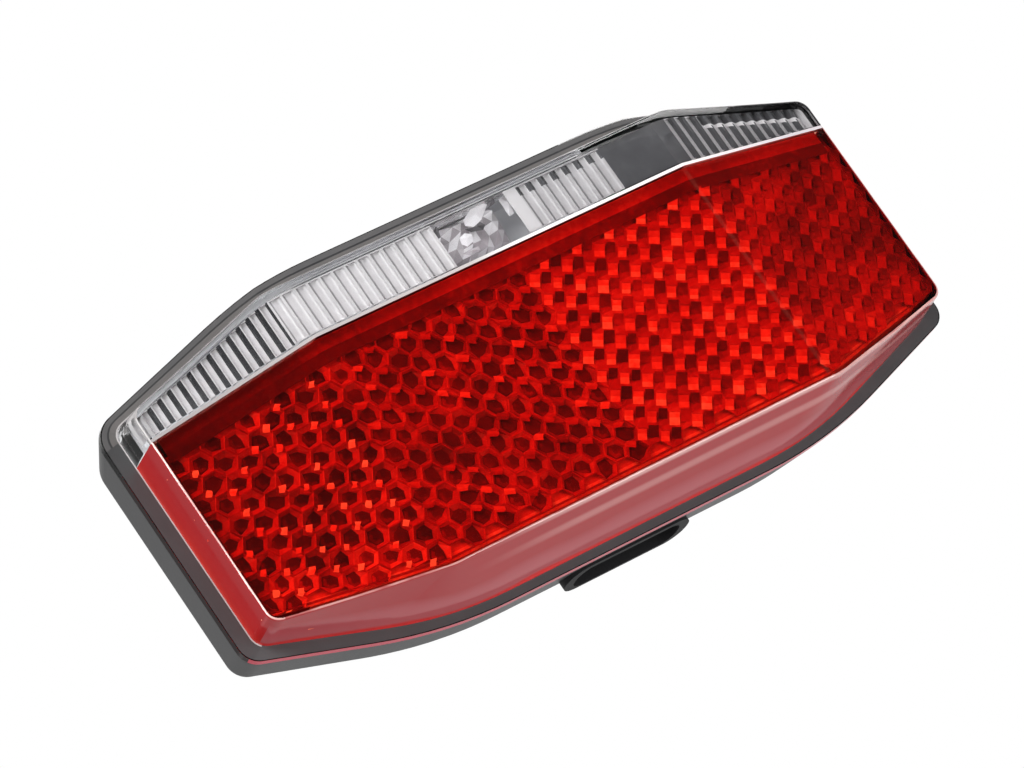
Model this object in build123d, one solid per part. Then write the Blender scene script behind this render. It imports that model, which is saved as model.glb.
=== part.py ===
from build123d import *
import os

# A bicycle rear light for the rear edge of a luggage carrier, in millimetres.
# X runs along the lamp, +Z is up and the lens faces -Y. The flat back that seats on the
# carrier plate is Y = 0. A "height" is a distance in front of that back, so height h is Y = -h.
# The lamp is folded: its middle is highest and both ends fall back towards the carrier.

# Rim, where the lens flange and the housing meet
rim_half = 58.3
rim_top = 25.0
rim_bottom = 25.9
rim_end_top = 18.1
rim_end_bottom = 17.9
rim_top_bend = 30.6
rim_bottom_bend = 31.8
rim_top_corner = 4.0
rim_bottom_corner = 2.8
rim_bend_radius = 70.0
ledge_height = 8.4
hump_height = 14.2
flange_thickness = 0.9

# Housing shell, which tapers from the rim to the back
side_taper = 1.7
top_taper = 1.4
bottom_taper = 1.4
end_corner_taper = 1.2
back_bottom_bend = 30.3
back_edge_round = 0.8
shell_wall = 1.5
back_wall = 2.2

# Lens: a foot on the ledge, leaning walls and a folded face
ledge_width_end = 2.4
ledge_width_top = 2.1
ledge_width_bottom = 1.3
foot_end_top = 16.9
foot_end_bottom = 16.6
foot_top_bend = 31.0
foot_bottom_bend = 30.4
foot_corner = 2.2
face_height = 19.9
face_fall = 5.0
fold_x = 30.4
wall_lean_end = 0.2
wall_lean_top = 1.4
wall_lean_bottom = 3.0
face_end_top = 15.3
face_end_bottom = 16.4
face_top_bend = 33.5
face_bottom_bend = 31.7
face_corner = 1.8
foot_bend_radius = 60.0
face_bend_radius = 6.0
lens_wall = 1.1
face_wall = 1.5
face_edge_round = 0.35

# Sill between the clear window and the red reflector
sill_z = 13.05
sill_end_z = 11.3

# Light flutes inside the window, with a plain pad among them
flute_pitch = 2.0
flute_radius = 0.9
flute_rise = 0.5
flute_sill_gap = 1.0
end_flute_pitch = 1.7
end_flute_width = 1.3
end_flute_rise = 0.9
flute_end_gap = 2.0
plain_pad = (21.4, 32.6)
guide_zone = (-6.4, 7.4)

# Reflex panels behind the red face
panel_joints = (-30.4, 0.8, 32.8)
panel_joint_gap = 0.3
panel_side_gap = 0.3
panel_face_gap = 0.15
panel_thickness = 1.0
panel_top_gap = 0.3
prism_top_gap = 2.4
panel_skirt = 0.8
prism_pitch_z = 3.1
prism_pitch_x = 2.7
prism_gap = 0.25
prism_depth = 1.2
prism_margin = 0.3

# Gasket in a groove round the shell's edge
gasket_width = 0.7
gasket_depth = 0.5

# Studs, captive in the shell
stud_spacing = 80.0
stud_radius = 2.5
stud_neck_radius = 2.9
stud_length = 15.0
stud_tip_chamfer = 0.5
stud_head_flats = 8.0
stud_head_thickness = 3.2
stud_hole_clearance = 0.1
seal_radius = 5.6
seal_thickness = 1.0
seal_clearance = 0.15
stud_collar_wall = 1.4
stud_collar_height = 3.0
clip_radius = 5.4
clip_thickness = 0.6
clip_recess = 0.8
clip_clearance = 0.15
clip_slots = 6
clip_slot_width = 0.8
clip_slot_length = 4.2

# Terminal block: an oval spout in the underside with room for two plugs
mouth_x = -0.6
mouth_half = 8.6
mouth_depth = 5.0
mouth_corner = 2.2
mouth_side_wall = 1.6
mouth_front_wall = 0.8
mouth_back_wall = 0.5
mouth_reach = 0.1
block_top_z = -9.0
block_roof = 2.2
divider_width = 1.4
divider_setback = 5.0
tab_spacing = 9.0
tab_width = 2.8
tab_thickness = 0.8
tab_tip_z = -17.6
tab_tip_chamfer = 0.6
tab_overlap = 4.6

# Circuit board on four posts, two of them with a screw
board_half = 30.0
board_bottom_z = -7.6
board_top_z = 20.6
board_thickness = 1.6
board_standoff = 1.6
board_corner = 1.5
post_radius = 2.6
post_inset = 3.0
screw_z = 8.4
rest_z = -4.4
screw_radius = 1.1
screw_length = 4.6
screw_head_radius = 2.1
screw_head_thickness = 1.4
screw_drive_depth = 0.8
screw_drive_width = 0.7
screw_hole_clearance = 0.1

# Parts on the board: size along X, along Z and in height, leads a side and their width, X and Z places
led_z = 17.8
led_size = (3.6, 3.0, 1.2)
led_dome_radius = 1.2
capacitor_radius = 6.6
capacitor_height = 5.4
capacitor_place = (-14.0, 3.0)
capacitor_round = 0.7
smoothing_radius = 3.1
smoothing_height = 5.6
smoothing_place = (17.5, -1.5)
smoothing_round = 0.5
smoothing_foot = 0.9
smoothing_foot_margin = 0.2
rectifier_size = (4.8, 4.0, 2.4)
rectifier_leads = (2, 0.9)
rectifier_place = (3.0, -2.5)
chip_size = (4.9, 3.9, 1.5)
chip_leads = (4, 0.45)
chip_place = (3.0, 4.5)
diode_size = (4.4, 3.6, 2.2)
diode_leads = (1, 2.0)
diode_place = (10.5, -4.0)
resistor_size = (2.0, 1.5, 0.6)
resistor_places = ((10.5, 1.5), (10.5, 4.5), (10.5, 7.5), (-3.8, 8.0))
resistor_cap = 0.5
lead_thickness = 0.3
lead_reach = 0.8

# Pale tray behind the window and the light guide that passes through it
tray_low = 6.6
tray_floor = 0.9
tray_wall = 0.8
tray_end_gap = 3.4
tray_pad_gap = 0.2
tray_face_gap = 0.3
tray_sill_gap = 0.15
tray_side_gap = 0.4
tray_flange_gap = 0.35
tray_sill_wall = 0.5
tray_foot_radius = 1.5
tray_foot_x = 37.0
tray_foot_z = 14.8
tray_socket_wall = 1.0
tray_socket_height = 2.0
tray_socket_clearance = 0.1
guide_entry = (6.4, 5.0)
guide_exit = (12.4, 7.6)
guide_entry_low = 6.95
guide_hump_gap = 1.95
guide_collar = (10.0, 7.6)
guide_collar_thickness = 0.8
guide_hole_clearance = 0.2
guide_cup_radius = 1.8
guide_cup_depth = 2.0

# How far a cut starts outside the surface it cuts, and how far the widest profiles run past the rim
overshoot = 1.0
run_past = 4.0

os.makedirs("parts", exist_ok=True)


def outline(half, top, bottom, end_top, end_bottom, top_bend, bottom_bend, top_corner, low_corner, bend):
    """The lamp's eight-sided outline with rounded ends and soft bends."""
    points = [
        (-bottom_bend, -bottom),
        (bottom_bend, -bottom),
        (half, -end_bottom),
        (half, end_top),
        (top_bend, top),
        (-top_bend, top),
        (-half, end_top),
        (-half, -end_bottom),
    ]
    face = make_face(Polyline(*points, close=True))
    radii = (bend, bend, low_corner, top_corner, bend, bend, top_corner, low_corner)
    for point, radius in zip(points, radii):
        vertex = face.vertices().sort_by_distance((*point, 0))[0]
        face = fillet(vertex, radius)
    return face


def placed(face, height):
    """A flat outline put at a height."""
    return Plane.XZ.offset(height) * face


def raised(face, low, high):
    """A flat outline pushed forward from one height to another."""
    return extrude(placed(face, low), amount=high - low)


def tapered(low_face, low, high_face, high):
    """A solid with straight walls between two outlines."""
    return loft([placed(low_face, low), placed(high_face, high)], ruled=True)


def bar_up(points, low_z, high_z):
    """A profile given in X and height, pushed upwards from one Z to another."""
    profile = make_face(Polyline(*[(x, -height) for x, height in points], close=True))
    return extrude(Plane.XY.offset(low_z) * profile, amount=high_z - low_z)


def rod(radius, x, z, low, high):
    """A round bar standing on the back, from one height to another."""
    return Pos(x, -(low + high) / 2, z) * Rot(90, 0, 0) * Cylinder(radius, high - low)


def block(size, x, z, low):
    """A box given as width, extent along Z and height, standing at a height."""
    width, tall, high = size
    return Pos(x, -low - high / 2, z) * Box(width, high, tall)


def face_drop(x):
    """How far the lens face has fallen back at a place along the lamp."""
    return face_fall * max(0, abs(x) - fold_x) / (face_half - fold_x)


def sill_at(x):
    """Z of the line between the window and the red reflector."""
    return sill_z - (sill_z - sill_end_z) * max(0, abs(x) - fold_x) / (face_half - fold_x)


def behind_face(drop):
    """All space behind the folded lens face, lowered by a drop."""
    xs = (-beyond, -fold_x, fold_x, beyond)
    top = [(x, face_height - face_drop(x) - drop) for x in xs]
    return bar_up([(-beyond, -overshoot), *top, (beyond, -overshoot)], -beyond, beyond)


def behind_ledge(drop):
    """All space behind the ledge, humped along the top and level along the bottom."""
    low = ledge_height - drop
    high = hump_height - drop
    hump = [(-beyond, low), (-foot_half, low), (-rim_top_bend, high)]
    hump += [(-x, height) for x, height in reversed(hump)]
    humped = bar_up([(-beyond, -overshoot), *hump, (beyond, -overshoot)], 0, beyond)
    floor = [(-beyond, -overshoot), (-beyond, low), (beyond, low), (beyond, -overshoot)]
    level = bar_up(floor, -beyond, 0)
    return humped + level


def oval_bar(half, low, high, low_z, high_z, radius):
    """A bar along Z behind the mouth, whose section is an oblong with rounded corners."""
    section = Pos(mouth_x, -(low + high) / 2) * RectangleRounded(2 * half, high - low, radius)
    return extrude(Plane.XY.offset(low_z) * section, amount=high_z - low_z)


def leads(size, x, z, low, count, width):
    """Flat solder leads on the left and right of a small housing."""
    row = []
    for side in (-1, 1):
        for i in range(count):
            lead_z = z + (i - (count - 1) / 2) * size[1] / count
            lead_x = x + side * (size[0] + lead_reach) / 2
            row.append(block((lead_reach, width, lead_thickness), lead_x, lead_z, low))
    return row


def save(part, name):
    """Writes one named piece."""
    part.label = name
    export_step(part, f"parts/{name}.step")


# Outlines that follow from the sizes above
beyond = rim_half + run_past
foot_half = rim_half - ledge_width_end
foot_top = rim_top - ledge_width_top
foot_bottom = rim_bottom - ledge_width_bottom
face_half = foot_half - wall_lean_end
shell_top = ledge_height - flange_thickness
board_low = back_wall + board_standoff
board_high = board_low + board_thickness
post_x = board_half - post_inset

rim_outline = outline(
    rim_half,
    rim_top,
    rim_bottom,
    rim_end_top,
    rim_end_bottom,
    rim_top_bend,
    rim_bottom_bend,
    rim_top_corner,
    rim_bottom_corner,
    rim_bend_radius,
)
back_outline = outline(
    rim_half - side_taper,
    rim_top - top_taper,
    rim_bottom - bottom_taper,
    rim_end_top - end_corner_taper,
    rim_end_bottom - end_corner_taper,
    rim_top_bend,
    back_bottom_bend,
    rim_top_corner,
    rim_bottom_corner,
    rim_bend_radius,
)
foot_outline = outline(
    foot_half,
    foot_top,
    foot_bottom,
    foot_end_top,
    foot_end_bottom,
    foot_top_bend,
    foot_bottom_bend,
    foot_corner,
    foot_corner,
    foot_bend_radius,
)
face_outline = outline(
    face_half,
    foot_top - wall_lean_top,
    foot_bottom - wall_lean_bottom,
    face_end_top,
    face_end_bottom,
    face_top_bend,
    face_bottom_bend,
    face_corner,
    face_corner,
    face_bend_radius,
)
rim_inside = offset(rim_outline, -shell_wall)
back_inside = offset(back_outline, -shell_wall)
foot_inside = offset(foot_outline, -lens_wall)
face_inside = offset(face_outline, -lens_wall)
below_flange = behind_ledge(flange_thickness)

# Terminal block with its two tabs
mouth_z = -rim_bottom - mouth_reach
mouth_high = mouth_back_wall + mouth_depth
block_high = mouth_high + mouth_front_wall
block_half = mouth_half + mouth_side_wall
roof_z = block_top_z - block_roof
block_corner = mouth_corner + mouth_front_wall
block_outer = oval_bar(block_half, 0, block_high, mouth_z, block_top_z, block_corner)
pocket = oval_bar(mouth_half, mouth_back_wall, mouth_high, mouth_z - overshoot, roof_z, mouth_corner)
divider_end = mouth_z + divider_setback
divider_size = (divider_width, roof_z - divider_end, mouth_depth)
divider = block(divider_size, mouth_x, (roof_z + divider_end) / 2, mouth_back_wall)
terminal_block = block_outer - pocket + divider
tab_end_z = board_bottom_z + tab_overlap
tabs = []
for side in (-1, 1):
    size = (tab_width, tab_end_z - tab_tip_z, tab_thickness)
    tab_x = mouth_x + side * tab_spacing / 2
    tab = block(size, tab_x, (tab_end_z + tab_tip_z) / 2, board_low - tab_thickness)
    tab = chamfer(tab.edges().filter_by(Axis.Y).group_by(Axis.Z)[0], tab_tip_chamfer)
    terminal_block -= tab
    tabs.append(tab)

# Studs, each with a seal under its head and a toothed ring behind the shell
stud_xs = (-stud_spacing / 2, stud_spacing / 2)
seal_high = back_wall + seal_thickness
studs = []
seals = []
clips = []
for x in stud_xs:
    shank = rod(stud_radius, x, 0, -stud_length, 0)
    shank = chamfer(shank.edges().filter_by(GeomType.CIRCLE).sort_by(Axis.Y)[-1], stud_tip_chamfer)
    shank += rod(stud_neck_radius, x, 0, 0, seal_high)
    hexagon = Pos(x, 0) * RegularPolygon(stud_head_flats / 2, 6, major_radius=False)
    studs.append(shank + raised(hexagon, seal_high, seal_high + stud_head_thickness))
    seal = rod(seal_radius, x, 0, back_wall, seal_high)
    seals.append(seal - rod(stud_neck_radius, x, 0, 0, seal_high + overshoot))
    clip_low = clip_recess - clip_thickness
    clip = rod(clip_radius, x, 0, clip_low, clip_recess) - rod(stud_neck_radius, x, 0, 0, seal_high)
    for i in range(clip_slots):
        slot = block((clip_slot_width, clip_slot_length, clip_recess), 0, stud_neck_radius, 0)
        clip -= Pos(x, 0, 0) * Rot(0, i * 360 / clip_slots, 0) * slot
    clips.append(clip)

# Housing: a tapered tub, humped along its top edge
housing = tapered(back_outline, 0, rim_outline, shell_top)
housing = fillet(housing.faces().sort_by(Axis.Y)[-1].edges(), back_edge_round)
housing -= tapered(back_inside, back_wall, rim_inside, shell_top)
housing += raised(rim_outline - rim_inside, shell_top, hump_height) & below_flange
for x in stud_xs:
    collar_inside = seal_radius + seal_clearance
    housing += rod(collar_inside + stud_collar_wall, x, 0, back_wall, back_wall + stud_collar_height)
    housing -= rod(collar_inside, x, 0, back_wall, back_wall + stud_collar_height)
    housing -= rod(stud_neck_radius + stud_hole_clearance, x, 0, -overshoot, back_wall)
    housing -= rod(clip_radius + clip_clearance, x, 0, -overshoot, clip_recess)
screw_low = board_high - screw_length
for x in (-post_x, post_x):
    housing += rod(post_radius, x, screw_z, back_wall, board_low)
    housing += rod(post_radius, x, rest_z, back_wall, board_low)
    housing -= rod(screw_radius, x, screw_z, screw_low, board_low)
socket_inside = tray_foot_radius + tray_socket_clearance
for x in (-tray_foot_x, tray_foot_x):
    housing += rod(socket_inside + tray_socket_wall, x, tray_foot_z, back_wall, back_wall + tray_socket_height)
    housing -= rod(socket_inside, x, tray_foot_z, back_wall, back_wall + tray_socket_height)
housing -= block_outer
gasket_outside = offset(rim_outline, -(shell_wall - gasket_width) / 2)
gasket_ring = gasket_outside - offset(gasket_outside, -gasket_width)
gasket_layer = below_flange - behind_ledge(flange_thickness + gasket_depth)
gasket = raised(gasket_ring, 0, hump_height) & gasket_layer
housing -= gasket

# Lens: one moulded shell of two colours, parted along the sill
lens = tapered(foot_outline, ledge_height, face_outline, face_height) & behind_face(0)
front_edges = [e for e in lens.edges() if abs(e.center().Y + face_height - face_drop(e.center().X)) < 0.1]
fold_edges = [e for e in front_edges if e.length > 2 * sill_z and abs(abs(e.center().X) - fold_x) < 0.1]
lens = fillet([e for e in front_edges if e not in fold_edges], face_edge_round)
lens -= tapered(foot_inside, ledge_height, face_inside, face_height) & behind_face(face_wall)
lens -= behind_ledge(0)
lens += raised(rim_outline - foot_inside, 0, hump_height) & (behind_ledge(0) - below_flange)
sill = [(x, sill_at(x)) for x in (-beyond, -fold_x, fold_x, beyond)]
window_side = make_face(Polyline(*sill, (beyond, beyond), (-beyond, beyond), close=True))
window_space = raised(window_side, 0, face_height + overshoot)
lens_red = lens - window_space
lens_clear = lens & window_space

# Inside of the window: round flutes in the middle and sharp ones on the falling ends
window_top = foot_top - wall_lean_top - lens_wall
window_slope = (foot_top - foot_end_top) / (foot_half - foot_top_bend)
flute_end = face_half - flute_end_gap
end_flute_count = int((flute_end - plain_pad[1]) / end_flute_pitch) + 1
middle_flute_count = int((plain_pad[0] + plain_pad[1]) / flute_pitch)
end_xs = [side * (flute_end - i * end_flute_pitch) for side in (-1, 1) for i in range(end_flute_count)]
middle_xs = [-plain_pad[1] + (i + 0.5) * flute_pitch for i in range(middle_flute_count)]
flutes = []
for x in end_xs + [x for x in middle_xs if not guide_zone[0] < x < guide_zone[1]]:
    low_z = sill_at(x) + flute_sill_gap
    high_z = window_top - window_slope * max(0, abs(x) - face_top_bend)
    inside = face_height - face_drop(x) - face_wall
    if x in end_xs:
        left = x - end_flute_width / 2
        right = x + end_flute_width / 2
        rooted = inside + face_wall / 2
        ridge = [(left, rooted), (right, rooted), (right, inside), (x, inside - end_flute_rise), (left, inside)]
        flutes.append(bar_up(ridge, low_z, high_z))
    else:
        centre = inside + flute_radius - flute_rise
        flutes.append(Pos(x, -centre, (low_z + high_z) / 2) * Cylinder(flute_radius, high_z - low_z))
lens_clear += flutes

# Reflex panels: plates behind the red face, with prisms on their backs and a skirt round all four
panel_front = face_wall + panel_face_gap
panel_back = panel_front + panel_thickness
panel_area = offset(face_outline, -lens_wall - panel_side_gap)
panel_tops = [(x, z - panel_top_gap) for x, z in sill]
panel_area &= make_face(Polyline(*panel_tops, (beyond, -beyond), (-beyond, -beyond), close=True))
panel_side = raised(panel_area, 0, face_height)
plates = panel_side & (behind_face(panel_front) - behind_face(panel_back))
skirt_ring = panel_area - offset(panel_area, -panel_skirt)
skirt = raised(skirt_ring, ledge_height, face_height) & behind_face(panel_back)
prism_tops = [(x, z - prism_top_gap) for x, z in sill]
prism_area = offset(panel_area, -panel_skirt - prism_margin)
prism_area &= make_face(Polyline(*prism_tops, (beyond, -beyond), (-beyond, -beyond), close=True))
cell = RegularPolygon((prism_pitch_z - prism_gap) / 2, 6, major_radius=False)
columns = int(2 * face_half / prism_pitch_x)
rows = int(2 * sill_z / prism_pitch_z) + 3
cells = []
for i in range(columns):
    for j in range(rows):
        x = (i - (columns - 1) / 2) * prism_pitch_x
        z = sill_z - prism_top_gap - (j + 0.5 * (i % 2)) * prism_pitch_z
        cells.append(Pos(x, z) * cell)
for x in panel_joints:
    prism_area -= Pos(x, 0) * Rectangle(panel_joint_gap, 2 * beyond)
lattice = Sketch(children=cells) & prism_area
prism_layer = behind_face(panel_back) - behind_face(panel_back + prism_depth)
prisms = raised(lattice, 0, face_height) & prism_layer
reflector = plates + skirt + prisms

# Circuit board, screws and the parts it carries
board_middle_z = (board_bottom_z + board_top_z) / 2
board_tall = board_top_z - board_bottom_z
board_area = Pos(0, board_middle_z) * RectangleRounded(2 * board_half, board_tall, board_corner)
board = raised(board_area, board_low, board_high)
screws = []
for x in (-post_x, post_x):
    screw_hole = screw_radius + screw_hole_clearance
    board -= rod(screw_hole, x, screw_z, board_low - overshoot, board_high + overshoot)
    screw = rod(screw_radius, x, screw_z, screw_low, board_high)
    screw += rod(screw_head_radius, x, screw_z, board_high, board_high + screw_head_thickness)
    drive_low = board_high + screw_head_thickness - screw_drive_depth
    for turn in (0, 90):
        slot = block((screw_drive_width, 2 * screw_radius, 2 * screw_drive_depth), 0, 0, drive_low)
        screw -= Pos(x, 0, screw_z) * Rot(0, turn, 0) * slot
    screws.append(screw)

led = block(led_size, 0, led_z, board_high)
dome = Pos(0, -board_high - led_size[2], led_z) * Sphere(led_dome_radius)
led += dome & block((led_size[0], led_size[1], led_dome_radius), 0, led_z, board_high + led_size[2])

capacitor = rod(capacitor_radius, *capacitor_place, board_high, board_high + capacitor_height)
capacitor = fillet(capacitor.edges().filter_by(GeomType.CIRCLE), capacitor_round)
smoothing = rod(smoothing_radius, *smoothing_place, board_high, board_high + smoothing_height)
smoothing = fillet(smoothing.edges().filter_by(GeomType.CIRCLE).sort_by(Axis.Y)[0], smoothing_round)
foot_side = 2 * (smoothing_radius + smoothing_foot_margin)
smoothing += block((foot_side, foot_side, smoothing_foot), *smoothing_place, board_high)

rectifier = block(rectifier_size, *rectifier_place, board_high)
rectifier += leads(rectifier_size, *rectifier_place, board_high, *rectifier_leads)
chip = block(chip_size, *chip_place, board_high)
chip += leads(chip_size, *chip_place, board_high, *chip_leads)
diode = block(diode_size, *diode_place, board_high)
diode += leads(diode_size, *diode_place, board_high, *diode_leads)
resistors = []
for x, z in resistor_places:
    body = block(resistor_size, x, z, board_high)
    for side in (-1, 1):
        cap_x = x + side * (resistor_size[0] + resistor_cap) / 2
        body += block((resistor_cap, resistor_size[1], resistor_size[2]), cap_x, z, board_high)
    resistors.append(body)

# Light guide: a square funnel from the diode to the window, with a collar that rests on the tray
entry = Pos(0, led_z) * Rectangle(*guide_entry)
guide_high = hump_height - guide_hump_gap
guide = tapered(entry, guide_entry_low, Pos(0, led_z) * Rectangle(*guide_exit), guide_high)
tray_high = tray_low + tray_floor
guide += block((*guide_collar, guide_collar_thickness), 0, led_z, tray_high)
guide -= rod(guide_cup_radius, 0, led_z, guide_entry_low, guide_entry_low + guide_cup_depth)

# Tray: an open box on two feet, with a wall along the sill that shuts the window off from the panels
tray_space = offset(rim_outline, -shell_wall - tray_side_gap)
tray_start = tray_end_gap - face_half
tray_end = plain_pad[0] - tray_pad_gap
wall_low = [(x, z + tray_sill_gap) for x, z in sill]
wall_high = [(x, z + tray_sill_wall) for x, z in wall_low]
above_wall = make_face(Polyline(*wall_low, (beyond, beyond), (-beyond, beyond), close=True))
tray_area = tray_space & above_wall
tray_area &= Pos((tray_start + tray_end) / 2, 0) * Rectangle(tray_end - tray_start, 2 * beyond)
tray = raised(tray_area, tray_low, hump_height)
tray -= raised(offset(tray_area, -tray_wall), tray_high, hump_height)
arm_end = tray_foot_x + tray_foot_radius
arm_z = tray_foot_z + tray_foot_radius
arm = tray_space & above_wall & Pos((tray_end + arm_end) / 2, 0) * Rectangle(arm_end - tray_end, 2 * arm_z)
tray += raised(arm, tray_low, tray_high)
tray &= behind_ledge(flange_thickness + tray_flange_gap)
sill_wall = raised(make_face(Polyline(*wall_low, *reversed(wall_high), close=True)), tray_low, face_height)
sill_wall &= raised(offset(face_outline, -lens_wall - tray_side_gap), 0, face_height)
sill_wall &= behind_face(face_wall + tray_face_gap)
tray += sill_wall
growth = (guide_high - guide_entry_low) / (tray_high - guide_entry_low)
hole = [low + (high - low) / growth + 2 * guide_hole_clearance for low, high in zip(guide_entry, guide_exit)]
tray -= block((*hole, 2 * tray_floor), 0, led_z, tray_low - tray_floor / 2)
for x in (-tray_foot_x, tray_foot_x):
    tray += rod(tray_foot_radius, x, tray_foot_z, back_wall, tray_low)

save(housing, "housing")
save(terminal_block, "terminal_block")
save(tabs[0], "terminal_live")
save(tabs[1], "terminal_ground")
save(Compound(children=studs), "mounting_studs")
save(Compound(children=seals), "stud_seals")
save(Compound(children=clips), "stud_clips")
save(gasket, "lens_gasket")
save(lens_red, "lens_red")
save(lens_clear, "lens_clear")
save(reflector, "reflector_prisms")
save(board, "circuit_board")
save(Compound(children=screws), "board_screws")
save(led, "led")
save(capacitor, "standlight_capacitor")
save(smoothing, "smoothing_capacitor")
save(rectifier, "rectifier")
save(chip, "regulator_chip")
save(diode, "suppressor_diode")
save(Compound(children=resistors), "resistors")
save(guide, "light_guide")
save(tray, "window_tray")
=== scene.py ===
import math
import random
import bpy
from mathutils import Matrix, Vector


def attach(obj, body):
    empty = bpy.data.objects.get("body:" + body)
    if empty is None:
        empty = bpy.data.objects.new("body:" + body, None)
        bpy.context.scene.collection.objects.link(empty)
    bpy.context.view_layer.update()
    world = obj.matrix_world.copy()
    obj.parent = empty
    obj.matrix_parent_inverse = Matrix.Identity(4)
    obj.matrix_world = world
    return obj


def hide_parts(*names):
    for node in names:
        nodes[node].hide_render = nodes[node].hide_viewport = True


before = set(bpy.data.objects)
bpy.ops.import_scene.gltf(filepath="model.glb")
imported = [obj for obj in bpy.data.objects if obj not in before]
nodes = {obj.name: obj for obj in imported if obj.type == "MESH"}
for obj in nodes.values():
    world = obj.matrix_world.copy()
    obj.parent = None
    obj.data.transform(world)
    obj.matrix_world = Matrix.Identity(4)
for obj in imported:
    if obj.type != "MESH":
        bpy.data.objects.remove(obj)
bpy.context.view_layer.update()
mm = 0.001
print("frame loaded,", len(nodes), "pieces")


class Field:
    def __init__(self, finish, socket):
        self.finish = finish
        self.socket = socket

    def maths(self, operation, *others):
        values = dict(enumerate([self, *others]))
        return self.finish.out(self.finish.node("ShaderNodeMath", {"operation": operation}, values))

    def flipped(self, operation, other):
        values = {0: other, 1: self}
        return self.finish.out(self.finish.node("ShaderNodeMath", {"operation": operation}, values))

    def __add__(self, other): return self.maths("ADD", other)
    def __radd__(self, other): return self.flipped("ADD", other)
    def __sub__(self, other): return self.maths("SUBTRACT", other)
    def __rsub__(self, other): return self.flipped("SUBTRACT", other)
    def __mul__(self, other): return self.maths("MULTIPLY", other)
    def __rmul__(self, other): return self.flipped("MULTIPLY", other)
    def __truediv__(self, other): return self.maths("DIVIDE", other)
    def __rtruediv__(self, other): return self.flipped("DIVIDE", other)
    def __abs__(self): return self.maths("ABSOLUTE")
    def __gt__(self, other): return self.maths("GREATER_THAN", other)
    def __lt__(self, other): return self.maths("LESS_THAN", other)

    def atLeast(self, least):
        return self.maths("MAXIMUM", least)

    def atMost(self, most):
        return self.maths("MINIMUM", most)

    def fraction(self):
        return self.maths("FRACT")

    def within(self, low, high):
        return (self > low) * (self < high)

    def smooth(self, low, high):
        values = {"Value": self, "From Min": low, "From Max": high}
        made = self.finish.node("ShaderNodeMapRange", {"interpolation_type": "SMOOTHSTEP"}, values)
        return self.finish.out(made)


class Finish:
    def __init__(self, name, owner=None):
        self.material = owner or bpy.data.materials.new(name)
        self.material.use_nodes = True
        self.tree = self.material.node_tree
        self.tree.nodes.clear()

    def node(self, kind, settings=None, values=None):
        made = self.tree.nodes.new(kind)
        for key, value in (settings or {}).items():
            if key == "stops":
                ramp = made.color_ramp
                while len(ramp.elements) < len(value):
                    ramp.elements.new(0.5)
                for element, (place, colour) in zip(ramp.elements, value):
                    element.position = place
                    element.color = rgba(colour)
            else:
                setattr(made, key, value)
        for key, value in (values or {}).items():
            if isinstance(value, Field):
                self.tree.links.new(value.socket, made.inputs[key])
            else:
                made.inputs[key].default_value = value
        return made

    def out(self, made, name=0):
        return Field(self, made.outputs[name])

    def place(self):
        return self.out(self.node("ShaderNodeTexCoord"), "Object")

    def axes(self, vector=None):
        made = self.node("ShaderNodeSeparateXYZ", {}, {0: vector or self.place()})
        return [self.out(made, name) for name in ("X", "Y", "Z")]

    def normal(self):
        return self.axes(self.out(self.node("ShaderNodeNewGeometry"), "Normal"))

    def noise(self, scale, detail):
        values = {"Vector": self.place(), "Scale": scale, "Detail": detail}
        return self.out(self.node("ShaderNodeTexNoise", {}, values), "Fac")

    def mottle(self, scale, detail, amount):
        return (self.noise(scale, detail) - 0.5) * amount

    def tone(self):
        return self.out(self.node("ShaderNodeAttribute", {"attribute_name": "tone"}), "Fac")

    def ramp(self, factor, stops):
        return self.out(self.node("ShaderNodeValToRGB", {"stops": stops}, {"Fac": factor}), "Color")

    def blend(self, factor, first, second):
        made = self.node("ShaderNodeMix", {"data_type": "RGBA"}, {0: factor, 6: first, 7: second})
        return self.out(made, 2)

    def bump(self, height, distance):
        return self.out(self.node("ShaderNodeBump", {}, {"Height": height, "Distance": distance}), "Normal")

    def principled(self, values):
        return self.out(self.node("ShaderNodeBsdfPrincipled", {}, values), "BSDF")

    def mixed(self, factor, first, second):
        return self.out(self.node("ShaderNodeMixShader", {}, {0: factor, 1: first, 2: second}), "Shader")

    def surface(self, shader):
        self.node("ShaderNodeOutputMaterial", {}, {"Surface": shader})
        return self.material


def rgba(colour):
    return (*colour, 1.0)


# The lamp's own sizes in millimetres, as the solids have them. An outline is its half length, top, bottom,
# end top, end bottom, top bend and bottom bend; its corners are the top and low corner and the bends.
shape = {
    "rim": (58.3, 25.0, 25.9, 18.1, 17.9, 30.6, 31.8), "rimCorners": (4.0, 2.8, 70.0),
    "foot": (55.9, 22.9, 24.6, 16.9, 16.6, 31.0, 30.4), "footCorners": (2.2, 2.2, 60.0),
    "face": (55.7, 21.5, 21.6, 15.3, 16.4, 33.5, 31.7), "faceCorners": (1.8, 1.8, 6.0),
    "foldX": 30.4, "faceHeight": 19.9, "faceFall": 5.0, "ledge": 8.4, "hump": 14.2,
    "sillZ": 13.05, "sillEnd": 11.3, "lensWall": 1.1, "faceWall": 1.5,
}
footHalf = shape["foot"][0]
humpEnd = shape["rim"][5]  # the hump has its full height between these bends
faceHalf, faceBottom, faceEndBottom, faceLowBend = [shape["face"][i] for i in (0, 2, 4, 6)]


def past(x, start, end):
    return max(0.0, abs(x) - start) / (end - start)


def faceAt(x):
    return shape["faceHeight"] - shape["faceFall"] * past(x, shape["foldX"], faceHalf)


def sillAt(x):
    return shape["sillZ"] - (shape["sillZ"] - shape["sillEnd"]) * past(x, shape["foldX"], faceHalf)


def ledgeAt(x, z):
    climb = min(1.0, max(0.0, (footHalf - abs(x)) / (footHalf - humpEnd)))
    return shape["ledge"] + (climb * (shape["hump"] - shape["ledge"]) if z > 0 else 0)


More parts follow.
